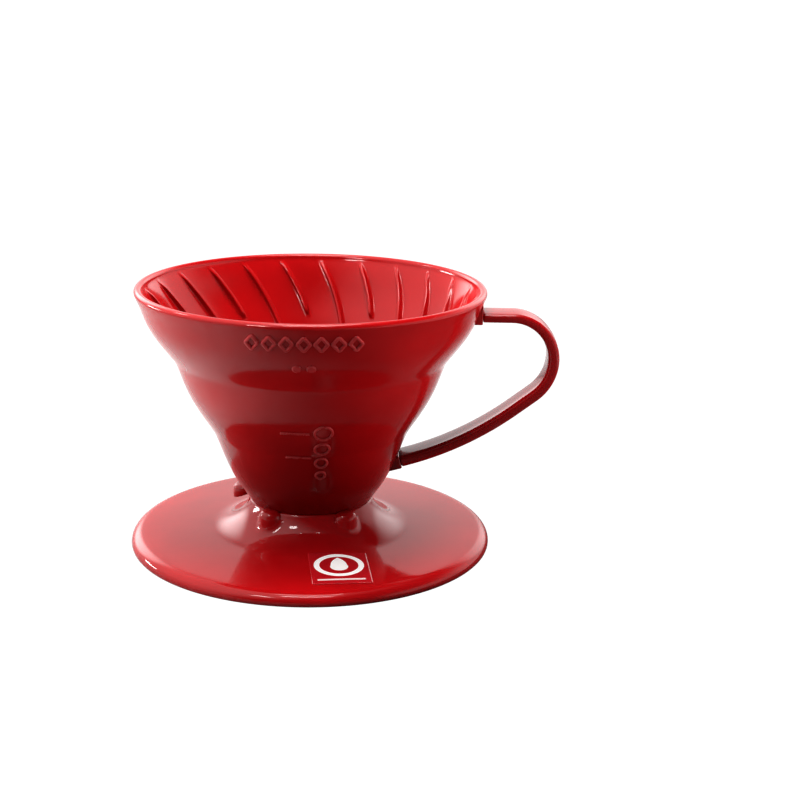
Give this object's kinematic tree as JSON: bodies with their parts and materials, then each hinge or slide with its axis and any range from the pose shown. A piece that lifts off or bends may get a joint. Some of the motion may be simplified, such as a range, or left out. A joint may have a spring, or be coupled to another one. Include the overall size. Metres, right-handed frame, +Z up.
{
  "type": "pour over dripper",
  "caption": "Pour-over coffee dripper: a wavy cone with spiral ribs inside and an open outlet, a flat strap handle, and a round base plate that rests on a cup.",
  "frame": {"origin": "centre of the plane that the base plate stands on, on the cone's axis", "axes": "+Z up along the cone's axis, +X towards the handle, -Y towards the front"},
  "size_m": [0.1177, 0.1, 0.0726],
  "materials": {
    "red_plastic": "glossy moulded, opaque deep red",
    "label_film": "printed adhesive film, red with a plain white emblem"
  },
  "bodies": {
    "root": {"cone_body": "red_plastic", "handle": "red_plastic", "base_plate": "red_plastic", "label": "label_film"}
  },
  "joints": []
}
